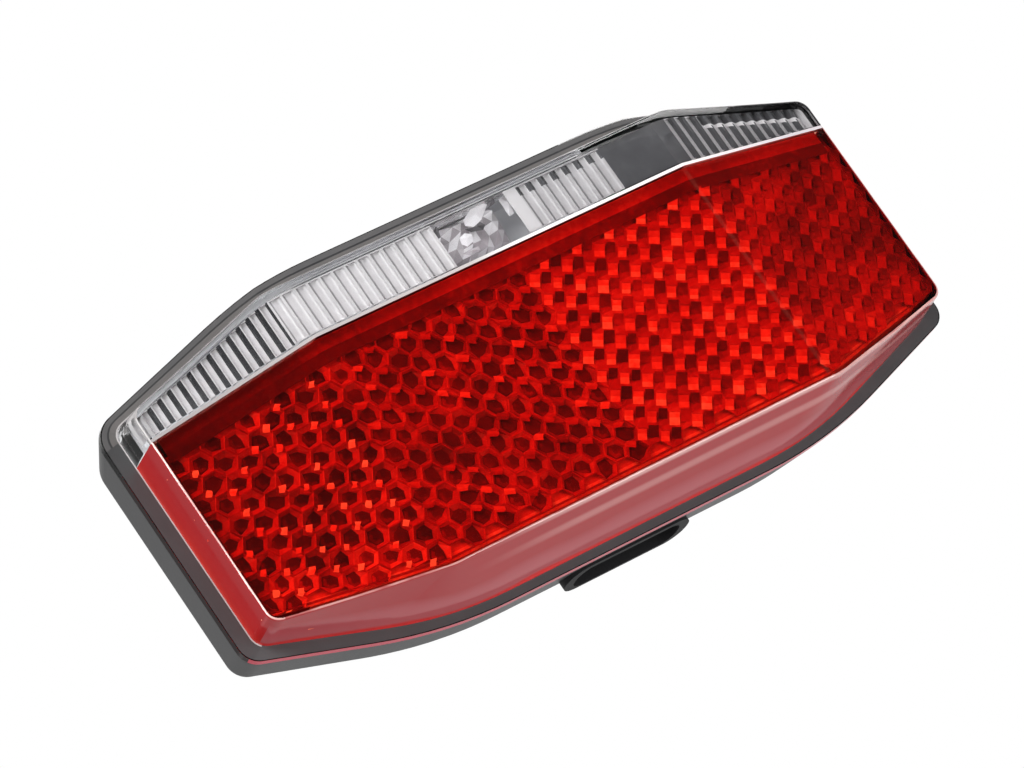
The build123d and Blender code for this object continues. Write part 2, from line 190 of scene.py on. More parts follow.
def corners(sizes, inset):
    half, top, bottom, endTop, endBottom, topBend, bottomBend = sizes
    points = [Vector(p) for p in (
        (-bottomBend, -bottom), (bottomBend, -bottom), (half, -endBottom), (half, endTop),
        (topBend, top), (-topBend, top), (-half, endTop), (-half, -endBottom))]
    moved = []
    for i, point in enumerate(points):
        before = (point - points[i - 1]).normalized()
        after = (points[(i + 1) % len(points)] - point).normalized()
        inward = before.orthogonal() + after.orthogonal()
        moved.append(point + inward * inset / (1 + before.dot(after)))
    return moved


def rounded(points, radii, steps=6):
    topCorner, lowCorner, bend = radii
    line = []
    for i, radius in enumerate((bend, bend, lowCorner, topCorner, bend, bend, topCorner, lowCorner)):
        point = points[i]
        before = (points[i - 1] - point).normalized()
        after = (points[(i + 1) % len(points)] - point).normalized()
        halfAngle = before.angle(after) / 2
        centre = point + (before + after).normalized() * radius / math.sin(halfAngle)
        start = point + before * radius / math.tan(halfAngle) - centre
        sweep = math.pi - 2 * halfAngle
        for step in range(steps + 1):
            turned = start.copy()
            turned.rotate(Matrix.Rotation(sweep * step / steps, 2))
            line.append(centre + turned)
    return line


def outline(name, inset):
    return rounded(corners(shape[name], inset), shape[name + "Corners"])


def atHeight(point, height):
    return (point[0], -height, point[1])


class Moulding:
    def __init__(self, name):
        self.name = name
        self.points, self.faces, self.tones = [], [], []

    def face(self, ring, tone):
        start = len(self.points)
        self.points.extend(Vector(p) * mm for p in ring)
        self.faces.append(tuple(range(start, start + len(ring))))
        self.tones.append(tone)

    def strip(self, first, second, tone, closed=True):
        count = len(first)
        for i in range(count if closed else count - 1):
            j = (i + 1) % count
            shade = tone(first[i], first[j]) if callable(tone) else tone
            self.face([first[i], first[j], second[j], second[i]], shade)

    def made(self, material, slot, replaced=None):
        mesh = bpy.data.meshes.new(self.name)
        mesh.from_pydata(self.points, [], self.faces)
        mesh.attributes.new("tone", "FLOAT", "FACE").data.foreach_set("value", self.tones)
        mesh.materials.append(material)
        piece = bpy.data.objects.new(self.name, mesh)
        bpy.context.scene.collection.objects.link(piece)
        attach(piece, "root")
        if replaced:
            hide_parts(replaced)
        print(self.name, "made,", len(self.faces), "faces")


def toned(name, values):  # a finish that takes its colour from the tone of each face
    f = Finish(name)
    level = f.tone()
    for mottle in values["mottles"]:
        level = level + f.mottle(*mottle)
    return f.surface(f.principled({"Base Color": f.ramp(level, values["stops"]), **values["gloss"]}))


def mouldedBlack(name, values):
    f = Finish(name)
    grain, broad = f.noise(*values["grain"]), f.noise(*values["broad"])
    low, high = values["toneRange"]
    colour = f.ramp(broad, [(low, values["dark"]), (high, values["light"])])
    # painted shade: the top of the rim, where the flange sits on it, is near black
    if "rimShadeFrom" in values:
        height = f.axes()[1] * (-1 / mm)
        colour = f.blend(height > values["rimShadeFrom"], colour, rgba(values["rimShade"]))
    return f.surface(f.principled({
        "Base Color": colour,
        "Roughness": values["roughness"] + broad * values["roughnessSpread"],
        "Specular IOR Level": values["shine"],
        "Normal": f.bump(grain, values["grainDepth"]),
    }))


def metal(name, values):
    f = Finish(name)
    streaks = f.noise(*values["streaks"])
    low, high = values["toneRange"]
    return f.surface(f.principled({
        "Base Color": f.ramp(streaks, [(low, values["dark"]), (high, values["light"])]),
        "Metallic": 1.0,
        "Roughness": values["roughness"] + streaks * values["roughnessSpread"],
        "Normal": f.bump(streaks, values["streakDepth"]),
    }))


def lensPlaces(f):  # in millimetres, depth from the folded face inwards; fall is the end's share of the fold
    across, along, up = f.axes()
    x, z, height = across / mm, up / mm, along * (-1 / mm)
    fall = ((abs(x) - shape["foldX"]) / (faceHalf - shape["foldX"])).atLeast(0.0)
    depth = shape["faceHeight"] - fall * shape["faceFall"] - height
    return x, z, height, depth, fall


def acrylic(f, values):
    ripple = f.bump(f.noise(*values["ripple"]), values["rippleDepth"])
    glass = f.principled({
        "Base Color": rgba(values["colour"]),
        "Roughness": values["roughness"],
        "IOR": values["ior"],
        "Transmission Weight": 1.0,
        "Normal": ripple,
    })
    through = f.out(f.node("ShaderNodeBsdfTransparent", {}, {"Color": rgba(values["shadow"])}), "BSDF")
    path = f.out(f.node("ShaderNodeLightPath"), "Is Shadow Ray")
    return f.mixed(path, glass, through), ripple


redLens = {
    "colour": (0.95, 0.35, 0.25), "shadow": (0.95, 0.35, 0.28), "roughness": 0.05, "ior": 1.49,
    "ripple": (60, 1.0), "rippleDepth": 0.02 * mm, "wallFacing": 0.95, "wallRoughness": 0.12,
    # tones of the walls by their height over the ledge; the bright red at the foot is a painted glow,
    # and the pink of the lower wall is partly a painted reflection of the white surroundings
    "mottle": (90, 2.0, 0.15), "levelSpan": 10, "under": 0.6,
    "wallStops": [(0.0, (0.60, 0.02, 0.01)), (0.15, (0.42, 0.008, 0.008)), (0.5, (0.34, 0.008, 0.012))],
    "lowStops": [(0.0, (0.75, 0.03, 0.03)), (0.05, (0.6, 0.03, 0.03)), (0.09, (0.42, 0.09, 0.10)),
                 (0.35, (0.38, 0.05, 0.06)), (0.5, (0.34, 0.008, 0.012))],
    # painted light: the inner side of the lower wall is painted bright
    "paintedLowInnerLight": (1.0, 0.22, 0.12), "lowLean": 0.26, "endLean": 0.22, "innerRise": (0.6, 3.0),
    "innerDepth": 5.0, "innerReach": 50,
    # flange edge: a near black painted shade on the sides and top, and a bright pink-red painted glow along
    # the bottom
    "edgeHeight": 8.39, "edge": (0.006, 0.001, 0.001), "glowingLowEdge": (0.50, 0.04, 0.07),
    # painted highlight: a milky shine painted on the lower wall, in two bands below the face
    "paintedSheen": (0.80, 0.50, 0.47), "sheenFrom": (-30, -8), "sheenHeight": 9, "nearBand": (0.4, 1.1),
    "nearSheen": 0.6, "farStart": (2.6, 3.5), "farEnd": (3.9, 4.8), "farSheen": 0.3,
    # painted highlight: light painted into the rounded edge between the walls and the face
    "edgeLight": (0.85, 0.55, 0.50), "edgeLightFrom": 12.5, "edgeFacing": (0.55, 0.75), "edgeLeft": 54.0,
    "patches": (220, 2.0), "patchRange": (0.35, 0.6), "patchLight": 0.35, "middleFrom": (-25, 0),
    "middleLight": 0.2, "leftLight": 0.5, "leastLight": 0.1,
}


def redAcrylic(values):
    f = Finish("redAcrylic")
    glass, ripple = acrylic(f, values)
    x, z, height, depth = lensPlaces(f)[:4]
    ny, nz = f.normal()[1:]
    facing = abs(ny)
    under = nz < -values["under"]
    # wall tones: a painted glow at the foot and a partly painted reflection on the lower wall
    level = (height - shape["ledge"]) / values["levelSpan"] + f.mottle(*values["mottle"])
    colour = f.blend(under, f.ramp(level, values["wallStops"]), f.ramp(level, values["lowStops"]))

    # painted light: the inner side of the lower wall is painted bright
    pastBend = (abs(x) - faceLowBend).atLeast(0.0)
    lowWall = z + faceBottom + depth * values["lowLean"] - pastBend * values["endLean"]
    paintedInnerLight = lowWall.within(*values["innerRise"]) * (depth < values["innerDepth"])
    paintedInnerLight = paintedInnerLight * (abs(nz) > values["under"]) * (abs(x) < values["innerReach"])
    colour = f.blend(paintedInnerLight, colour, rgba(values["paintedLowInnerLight"]))

    # flange edge: painted shade on the sides and top, painted glow along the bottom
    edge = f.blend(under, rgba(values["edge"]), rgba(values["glowingLowEdge"]))
    colour = f.blend(height < values["edgeHeight"], colour, edge)

    # painted highlight: a milky shine on the lower wall in two bands below the face
    near = (1 - depth.smooth(*values["nearBand"])) * values["nearSheen"]
    far = depth.smooth(*values["farStart"]) * (1 - depth.smooth(*values["farEnd"])) * values["farSheen"]
    paintedSheen = under * (near + far) * x.smooth(*values["sheenFrom"]) * (height > values["sheenHeight"])
    colour = f.blend(paintedSheen, colour, rgba(values["paintedSheen"]))

    # painted highlight along the rounded edge between the walls and the face
    onEdge = facing.smooth(*values["edgeFacing"]) * (height > values["edgeLightFrom"])
    patches = f.noise(*values["patches"]).smooth(*values["patchRange"])
    share = patches * values["patchLight"] + x.smooth(*values["middleFrom"]) * values["middleLight"]
    share = share + (x < -values["edgeLeft"]) * values["leftLight"] + values["leastLight"]
    colour = f.blend(onEdge * share, colour, rgba(values["edgeLight"]))

    wall = f.principled({"Base Color": colour, "Roughness": values["wallRoughness"], "Normal": ripple})
    onWall = ((facing < values["wallFacing"]) + (height < values["edgeHeight"])).atMost(1.0)
    return f.surface(f.mixed(onWall, glass, wall))


clearLens = {
    "colour": (0.97, 0.975, 0.98), "shadow": (0.95, 0.95, 0.955), "roughness": 0.015, "ior": 1.49,
    "ripple": (60, 1.0), "rippleDepth": 0.01 * mm,
    # flutes behind the face, painted light and dark by the way each face turns: a painted reflection and
    # shade of what the flutes bend and reflect; ends, pad, guide and dashes are spans along the lamp
    "paint": 0.9, "paintRoughness": 0.2, "paintDepth": (shape["faceWall"] - 0.05, shape["faceWall"] + 0.95),
    "paintFrom": 0.9, "ends": (-32.6, 32.6), "pad": (21.4, 32.6), "padTone": 0.30, "guide": (-6.6, 5.4),
    "middle": 0.84, "middleLine": 0.28, "fluteTurn": (0.3, 0.6), "mottle": (350, 3.0, 0.14),
    "endGap": 2.0, "endPitch": 1.7, "leftLitPart": (0.12, 0.76), "leftDark": 0.05, "leftLit": 0.85,
    "rightLitPart": (0.15, 0.58), "rightDark": 0.24, "rightLit": 0.55,
    "cornerX": 53.7, "cornerTone": 0.8, "dashes": (7.4, 21.4), "dashPitch": 2.0, "dashPart": (0.2, 0.75),
    "dashRise": (6.0, 7.3), "dashDepth": 0.45, "dashZone": 0.1,
    "topRise": 7.35, "topBend": 33.5, "topFall": 0.172, "bandFrom": 38.0, "bandTall": 1.1, "bandTone": 0.3,
    "zigzag": 1.3, "zigzagRise": 0.5, "zigzagTone": 0.95,
    "stops": [(0.0, (0.006, 0.006, 0.008)), (0.3, (0.08, 0.08, 0.085)), (0.6, (0.28, 0.27, 0.28)),
              (1.0, (0.80, 0.78, 0.79))],
    # painted highlight: a pale line painted along the sill where the joint catches the light
    "lineWidth": (0.02, 0.45), "lineDepth": 0.3, "lineRoughness": 0.25, "lineScale": 0.01,
    "paintedLineStops": [(0.0, (0.36, 0.33, 0.33)), (0.45, (0.52, 0.48, 0.47)), (0.52, (0.92, 0.88, 0.86)),
                  (0.78, (0.85, 0.80, 0.80)), (1.0, (0.60, 0.55, 0.57))],
    # walls of the window, painted pale and dark along the lamp: painted light and shade of what shows in the
    # clear walls
    "wallFacing": 0.9, "levelWall": 0.5, "wallDepth": 0.3, "levelDepth": 3, "overLedge": 0.2,
    "wallPaint": 0.5, "densePaint": 0.45, "denseWall": (-54.5, 44.0), "wallRoughness": 0.15,
    "wallMottle": (120, 2.0, 6), "wallScale": 0.008,
    "wallStops": [(0.0, (0.55, 0.53, 0.53)), (0.1, (0.24, 0.22, 0.22)), (0.62, (0.50, 0.48, 0.48)),
                  (0.66, (0.86, 0.84, 0.84)), (0.83, (0.86, 0.84, 0.84)), (0.86, (0.13, 0.125, 0.13)),
                  (1.0, (0.13, 0.125, 0.13))],
    # part of the top wall that scatters what shines through
    "frost": (0.98, 0.97, 0.97), "frosted": (20.0, 44.0), "frostFrom": 4, "frostShare": 0.9,
    "frostRoughness": 0.8, "frostIor": 1.2,
}


def fluteReflectionTone(f, values, x, nx, overSill):
    def instead(mask, tone, other):
        return tone + mask * (other - tone)

    # painted reflection and shade: each flute face is light or dark by the way it turns
    tone = values["middle"] - nx.smooth(*values["fluteTurn"]) * values["middleLine"]
    fluteEnd = faceHalf - values["endGap"]
    leftPhase = ((x + fluteEnd) / values["endPitch"] + 0.5).fraction()
    rightPhase = ((x - fluteEnd) / values["endPitch"] + 0.5).fraction()
    leftRidges = leftPhase.within(*values["leftLitPart"])
    rightRidges = rightPhase.within(*values["rightLitPart"])
    tone = instead(x < values["ends"][0], tone, values["leftDark"] + leftRidges * values["leftLit"])
    tone = instead(x > values["ends"][1], tone, values["rightDark"] + rightRidges * values["rightLit"])
    tone = instead(x.within(*values["pad"]), tone, values["padTone"])

    dash = ((x - values["pad"][1]) / values["dashPitch"]).fraction().within(*values["dashPart"])
    dash = dash * x.within(*values["dashes"]) * overSill.within(*values["dashRise"])
    tone = tone - dash * values["dashDepth"] - x.within(*values["dashes"]) * values["dashZone"]

    top = values["topRise"] - (abs(x) - values["topBend"]).atLeast(0.0) * values["topFall"] - overSill
    onRight = x > values["bandFrom"]
    tone = instead(onRight * (top < values["bandTall"]), tone, values["bandTone"])
    zigzag = top.within(values["bandTall"], values["zigzag"] + rightPhase * values["zigzagRise"])
    tone = instead(onRight * zigzag, tone, values["zigzagTone"])
    tone = instead(abs(x) > values["cornerX"], tone, values["cornerTone"])
    return tone + f.mottle(*values["mottle"])


def clearAcrylic(values):
    f = Finish("clearAcrylic")
    glass, ripple = acrylic(f, values)
    x, z, height, depth, fall = lensPlaces(f)
    nx, ny, nz = f.normal()
    overSill = z - shape["sillZ"] + fall * (shape["sillZ"] - shape["sillEnd"])
    # the inner faces of the flutes carry the painted reflection and shade
    inner = depth.within(*values["paintDepth"]) * (overSill > values["paintFrom"])
    inner = inner * (1 - x.within(*values["guide"]))
    tone = fluteReflectionTone(f, values, x, nx, overSill)
    painted = f.principled({"Base Color": f.ramp(tone, values["stops"]),
                            "Roughness": values["paintRoughness"]})
    shader = f.mixed(inner * values["paint"], glass, painted)

    levelWall = abs(nz) > values["levelWall"]
    overLedge = height > shape["ledge"] + values["overLedge"]
    onWall = (abs(ny) < values["wallFacing"]) * overLedge
    onWall = onWall * (depth < values["wallDepth"] + levelWall * values["levelDepth"])
    dense = (x < values["denseWall"][0]) + (x > values["denseWall"][1])
    wallShare = dense * values["densePaint"] + values["wallPaint"]
    # painted light and shade on the clear walls, pale and dark along the lamp
    wallPlace = (x + f.mottle(*values["wallMottle"])) * values["wallScale"] + 0.5
    pale = f.principled({"Base Color": f.ramp(wallPlace, values["wallStops"]),
                         "Roughness": values["wallRoughness"], "Normal": ripple})
    shader = f.mixed(onWall * wallShare, shader, pale)

    frosted = f.principled({"Base Color": rgba(values["frost"]), "Roughness": values["frostRoughness"],
                            "Transmission Weight": 1.0, "IOR": values["frostIor"]})
    onFrost = levelWall * x.within(*values["frosted"]) * overLedge * (overSill > values["frostFrom"])
    shader = f.mixed(onFrost * values["frostShare"], shader, frosted)

    # painted highlight: a pale line along the sill
    line = f.principled({"Base Color": f.ramp(x * values["lineScale"] + 0.5, values["paintedLineStops"]),
                         "Roughness": values["lineRoughness"], "Normal": ripple})
    onPaintedLine = overSill.within(*values["lineWidth"]) * (depth < values["lineDepth"])
    return f.surface(f.mixed(onPaintedLine, shader, line))


plastic = {"dark": (0.012, 0.012, 0.013), "light": (0.026, 0.026, 0.028), "toneRange": (0.3, 0.75),
           "roughness": 0.36, "roughnessSpread": 0.12, "shine": 0.26, "grain": (2600, 3.0),
           "grainDepth": 0.03 * mm, "broad": (60, 2.0)}
plate = {"dark": (0.55, 0.55, 0.57), "light": (0.75, 0.75, 0.77), "toneRange": (0.3, 0.7),
         "roughness": 0.25, "roughnessSpread": 0.15, "streaks": (700, 4.0), "streakDepth": 0.02 * mm}

# the rim top is painted near black: painted shade of the gap under the flange
black = mouldedBlack("shellBlack", {**plastic, "rimShadeFrom": 7.15, "rimShade": (0.002, 0.002, 0.002)})
spoutBlack = mouldedBlack("spoutBlack", {**plastic, "light": (0.014, 0.014, 0.015), "roughness": 0.55,
                                         "shine": 0.2})
rubber = mouldedBlack("rubberBlack", {**plastic, "roughness": 0.7})
epoxy = mouldedBlack("epoxyBlack", {**plastic, "roughness": 0.5})
white = mouldedBlack("trayWhite", {**plastic, "dark": (0.72, 0.72, 0.74), "light": (0.82, 0.82, 0.84)})
board = mouldedBlack("boardGreen", {**plastic, "dark": (0.02, 0.16, 0.07), "light": (0.04, 0.25, 0.12)})
sleeve = mouldedBlack("capacitorSleeve", {**plastic, "dark": (0.02, 0.03, 0.12), "light": (0.04, 0.05, 0.2)})
steel = metal("zincSteel", plate)
tin = metal("tinPlate", {**plate, "dark": (0.7, 0.68, 0.64), "light": (0.85, 0.84, 0.8), "roughness": 0.2,
                         "streaks": (500, 4.0)})
red = redAcrylic(redLens)
clear = clearAcrylic(clearLens)

finishes = {
    "housing": black, "terminal_block": spoutBlack, "terminal_live": tin, "terminal_ground": tin,
    "mounting_studs": steel, "stud_seals": rubber, "stud_clips": steel, "lens_gasket": rubber,
    "lens_red": red, "lens_clear": clear, "reflector_prisms": red, "circuit_board": board,
    "board_screws": steel, "led": white, "standlight_capacitor": sleeve, "smoothing_capacitor": tin,
    "rectifier": epoxy, "regulator_chip": epoxy, "suppressor_diode": epoxy, "resistors": epoxy,
    "light_guide": clear, "window_tray": white,
}
for name, finish in finishes.items():
    nodes[name].data.materials.clear()
    nodes[name].data.materials.append(finish)
print("finishes made")

# Ledge: a band over the black rim as it shows through the flange, its grey a painted reflection of the bright
# surroundings, with a pale line at the lens's foot that is a painted highlight. Along the top its tone goes
# by the share of the way from the rim to the foot.
ledgeReflectionBand = {
    "edge": 0.12, "line": 0.18, "footGap": 0.01, "lift": 0.03, "ends": 0.30, "bottom": 0.34,
    "footHighlightTone": 0.9, "footHighlightLow": 0.4, "lineLowFrom": -16.5, "clearFrom": 37.0, "clearTone": 0.6,
    "top": ((0.0, 0.5), (0.38, 0.54), (0.39, 0.2), (0.52, 0.2), (0.53, 0.6), (1.0, 0.66)),
    "stops": [(0.0, (0.008, 0.008, 0.009)), (0.42, (0.083, 0.082, 0.084)), (0.5, (0.10, 0.098, 0.10)),
              (0.66, (0.15, 0.14, 0.135)), (0.84, (0.30, 0.28, 0.28)), (1.0, (0.75, 0.72, 0.72))],
    "mottles": ((300, 3.0, 0.10),), "gloss": {"Roughness": 0.3},
}


# painted reflection: the band's tone by its side of the lamp
def bandTone(start, end, topTone):
    run = Vector(end) - Vector(start)
    x, z = start[0], start[2]
    steep = abs(run.z) > 2 * abs(run.x)
    if z < 0 or (steep and min(z, end[2]) < shape["sillEnd"]):
        return ledgeReflectionBand["ends"] if abs(run.z) > abs(run.x) else ledgeReflectionBand["bottom"]
    return ledgeReflectionBand["clearTone"] if x > ledgeReflectionBand["clearFrom"] else topTone


def buildLedge():
    outer = outline("rim", ledgeReflectionBand["edge"])
    inner = outline("foot", -ledgeReflectionBand["line"])
    foot = outline("foot", -ledgeReflectionBand["footGap"])

    def lifted(line):
        return [atHeight(p, ledgeAt(*p) + ledgeReflectionBand["lift"]) for p in line]

    def between(share):
        return lifted([a.lerp(b, share) for a, b in zip(outer, inner)])

    piece = Moulding("ledgeReflectionBand")
    for (share, tone), (nextShare, nextTone) in zip(ledgeReflectionBand["top"], ledgeReflectionBand["top"][1:]):
        middle = (tone + nextTone) / 2
        piece.strip(between(share), between(nextShare), lambda start, end: bandTone(start, end, middle))
    # painted highlight: the pale line at the lens's foot, darker along the bottom
    piece.strip(lifted(inner), lifted(foot), lambda start, end: ledgeReflectionBand[
        "footHighlightLow" if start[2] < ledgeReflectionBand["lineLowFrom"] else "footHighlightTone"])
    piece.made(toned("ledgeReflectionGrey", ledgeReflectionBand), "black_shell")


# Optic: the faceted head of the light guide, seen through the plain part of the window; its facets are toned
# at random, with painted bright and dark glints on top
optic = {
    "centre": (0.0, 17.8), "entry": (3.2, 2.5, 6.95), "exit": (6.2, 3.8, 12.25), "columns": 9, "rows": 5,
    "seed": 11, "crown": 3.4, "jitter": 0.5, "wander": 0.3, "tones": (0.55, 1.0), "side": 0.7,
    "petalCrown": 0.35, "petalJitter": 0.05,
    "petals": (  # painted bright and dark glints: rise, tone and outline
        (16.9, 1.0, ((-1.2, 19.0), (-1.0, 19.8), (0.9, 20.8), (3.0, 20.9), (3.4, 20.4), (1.4, 18.9),
                     (-0.1, 18.4))),
        (16.9, 0.12, ((-1.6, 18.6), (-0.3, 18.4), (1.0, 18.7), (1.4, 18.0), (0.7, 17.5), (-1.0, 17.9))),
        (17.0, 0.95, ((-3.1, 17.8), (-2.0, 18.1), (-1.2, 17.6), (-1.6, 16.6), (-2.8, 16.3), (-3.3, 16.9))),
        (16.8, 0.2, ((-5.0, 20.6), (-4.7, 20.6), (-5.2, 19.0), (-6.2, 19.0), (-6.1, 19.8))),
        (16.8, 0.95, ((5.3, 20.4), (6.6, 20.8), (7.0, 20.4), (7.3, 19.4), (6.1, 17.8), (5.2, 17.7))),
        (16.7, 0.35, ((3.2, 20.5), (4.0, 20.9), (5.0, 20.9), (4.6, 20.2), (3.4, 20.0))),
        (16.9, 0.7, ((-4.0, 15.7), (-3.0, 15.8), (-1.4, 15.8), (-1.4, 15.2), (-3.0, 15.0))),
    ),
    "stops": [(0.0, (0.02, 0.018, 0.02)), (0.35, (0.16, 0.15, 0.16)), (0.7, (0.42, 0.38, 0.40)),
              (1.0, (0.85, 0.83, 0.85))],
    "mottles": ((500, 3.0, 0.2),), "gloss": {"Roughness": 0.12, "Coat Weight": 0.5},
}


def opticGrid():
    centreX, centreZ = optic["centre"]
    halfX, halfZ, low = optic["exit"]
    columns, rows = optic["columns"], optic["rows"]
    grid = []
    for j in range(rows + 1):
        row = []
        for i in range(columns + 1):
            a, b = 2 * i / columns - 1, 2 * j / rows - 1
            rise, wander = 0, 0
            if 0 < i < columns and 0 < j < rows:
                rise = optic["crown"] * (1 - a ** 4) * (1 - b ** 4) + random.uniform(-1, 1) * optic["jitter"]
                wander = random.uniform(-optic["wander"], optic["wander"])
            row.append((centreX + halfX * a + wander, -low - rise, centreZ + halfZ * b + wander))
        grid.append(row)
    return grid


def buildOptic():
    random.seed(optic["seed"])
    piece = Moulding("opticHead")
    x, z = optic["centre"]

    def ring(sizes):
        wide, tall, height = sizes
        return [(x + wide * a, -height, z + tall * b) for a, b in ((-1, -1), (1, -1), (1, 1), (-1, 1))]

    piece.strip(ring(optic["entry"]), ring(optic["exit"]), optic["side"])
    grid = opticGrid()
    for lower, upper in zip(grid, grid[1:]):
        for i in range(optic["columns"]):
            piece.face([lower[i], lower[i + 1], upper[i + 1]], random.uniform(*optic["tones"]))
            piece.face([lower[i], upper[i + 1], upper[i]], random.uniform(*optic["tones"]))
    # painted bright and dark glints
    for rise, tone, petal in optic["petals"]:
        middle = [sum(p[k] for p in petal) / len(petal) for k in (0, 1)]
        crown = atHeight(middle, rise + optic["petalCrown"])
        for i, point in enumerate(petal):
            after = petal[(i + 1) % len(petal)]
            jitter = random.uniform(-optic["petalJitter"], optic["petalJitter"])
            piece.face([atHeight(point, rise), atHeight(after, rise), crown], tone + jitter)
    piece.made(toned("opticClear", optic), "clear_acrylic", "light_guide")


# Reflex panels: four fields of hexagonal cells, each field cut its own way, on one red plate. The light and
# dark in the
# cells is painted: each facet's tone is painted light and shade standing in for how the prisms catch and
# reflect the light
panels = {
    "joints": (-30.4, 0.8, 32.8), "pitchX": 2.7, "pitchZ": 3.1, "columns": 41, "rows": 12, "topZ": 10.65,
    "depth": 0.5, "gap": 0.15, "endX": 54.4, "bottomInset": 1.0, "lowestCell": 0.6, "liftRows": 4.0,
    "jitter": 0.07, "seed": 4,
    "plateShares": (0.0, 0.8, 0.97), "plateTones": (0.5, 0.62, 0.8), "plateStep": 3.0, "plateInset": 0.1,
    "plateUnder": 0.05, "sideGap": 0.3,
    "borderOver": 0.45, "borderLow": 1.0, "borderLine": 0.7, "borderDepth": -0.05, "lineShare": 0.55,
    "borderStops": ((-55, 0.16), (-38, 0.22), (-12, 0.5), (10, 0.55), (30, 0.42), (55, 0.45)),
    "stops": [(0.0, (0.035, 0.001, 0.004)), (0.25, (0.13, 0.002, 0.002)), (0.5, (0.47, 0.012, 0.010)),
              (0.75, (0.80, 0.10, 0.06)), (1.0, (1.0, 0.55, 0.36))],
    "mottles": ((1400, 2.0, 0.25), (150, 2.0, 0.30)), "gloss": {"Roughness": 0.3, "Specular IOR Level": 0.2},
}
capped = (  # the two panels on the left: cells with a sunk cap
    {"lines": (0.38, 0.34, 0.60, 0.42, 0.44, 0.62), "slopes": (0.41, 0.36, 0.34, 0.35, 0.45, 0.43),
     "rim": 0.94, "cap": 0.60, "shift": (0.10, 0.04), "wander": 0.16, "capTone": 0.02, "shade": 0.18,
     "shadeSize": 0.45, "spot": 0.86, "spotAt": (-1.3, -0.75), "spotSize": (0.75, 0.95), "lift": 0.2},
    {"lines": (0.42, 0.44, 0.48, 0.40, 0.42, 0.49), "slopes": (0.42, 0.46, 0.40, 0.40, 0.44, 0.44),
     "rim": 0.90, "cap": 0.64, "shift": (0.10, 0.02), "wander": 0.18, "capTone": 0.15, "shade": 0.25,
     "shadeSize": 0.4, "spot": 0.56, "spotAt": (-0.3, 1.3), "spotSize": (1.5, 0.9), "lift": 0.05},
)
cubes = (  # the two panels on the right: cells with a cube's corner
    {"facets": (0.53, 0.48, 0.44), "bright": (0.65, 0.79), "brightAt": (-0.85, 0.25), "dark": 0.27,
     "darkAt": (0.85, 0.0), "size": (1.35, 1.75), "left": 0.10, "leftTo": 6.0, "fade": 0.0, "lift": 0.05},
    {"facets": (0.42, 0.39, 0.37), "bright": (0.46, 0.48), "brightAt": (-0.85, 0.25), "dark": 0.29,
     "darkAt": (0.85, 0.0), "size": (1.25, 1.75), "left": 0.29, "leftTo": 33.0, "fade": 0.05, "lift": 0.10},
)
cut = {  # what all cells share
    "level": (0.906, -0.423), "upright": (0.581, 0.814),  # how the square facets lie on the panels
    "spread": (0.85, 1.15), "fold": 0.3, "facetDepth": -0.02, "hollowGap": 0.03, "shadeReach": 0.9,
    "spotChance": 0.7, "spotFold": 0.06, "spotLoose": 0.3, "darkFold": 0.04, "brightJitter": 1.5,
}
panelHeight = shape["faceWall"] + panels["gap"]


def bottomAt(x):
    return -faceBottom + (faceBottom - faceEndBottom) * past(x, faceLowBend, faceHalf) + panels["bottomInset"]


def topAt(x):
    return panels["topZ"] - (shape["sillZ"] - sillAt(x))


def onPanel(x, z, depth=0.0):
    return (x, depth + panelHeight - faceAt(x), z)


def squareFacet(piece, at, middle, size, tone, jitter, loose=0.0):
    wide, tall = size
    level, upright = Vector(cut["level"]), Vector(cut["upright"])
    spread = random.uniform(*cut["spread"])

    def corner(a, b):
        a, b = [value * spread + random.uniform(-1, 1) * loose for value in (a, b)]
        return at(Vector(middle) + level * wide * a / 2 + upright * tall * b / 2, 1, cut["facetDepth"])

    sides = [[corner(-1, b), corner(1, b)] for b in (1, random.uniform(-cut["fold"], cut["fold"]), -1)]
    for (left, right), (lowLeft, lowRight), share in zip(sides, sides[1:], tone):
        piece.face([left, lowLeft, lowRight, right], share + jitter)


def cappedCell(piece, at, rim, look, jitter):
    def wander():
        return random.uniform(-1, 1) * look["wander"]

    outer = [at(p) for p in rim]
    inner = [at(p, look["rim"]) for p in rim]
    size = look["cap"]
    cap = [at(p, size + wander(), panels["depth"], look["shift"]) for p in rim]
    # painted light and shade: each side of the rim line and slope is toned by the way it faces
    for k in range(len(rim)):
        after = (k + 1) % len(rim)
        piece.face([outer[k], outer[after], inner[after], inner[k]], look["lines"][k] + wander() / 2)
        piece.face([inner[k], inner[after], cap[after], cap[k]], look["slopes"][k] + jitter + wander() / 3)
    piece.face(cap, look["capTone"] + abs(jitter))

    def hollow(k, size):  # just in front of the cap
        return at(rim[k], size, panels["depth"] - cut["hollowGap"], look["shift"])

    # painted shade on the lower left of the cap
    shade = [hollow(k, size * cut["shadeReach"]) for k in (2, 3, 4, 5)]
    shade += [hollow(k, size * look["shadeSize"]) for k in (5, 4, 3, 2)]
    piece.face(shade, look["shade"] + jitter)
    # painted glint: a bright square beside the cap
    if random.random() < cut["spotChance"]:
        tone = look["spot"] + wander()
        squareFacet(piece, at, look["spotAt"], look["spotSize"], (tone, tone - cut["spotFold"]), jitter,
                    cut["spotLoose"])


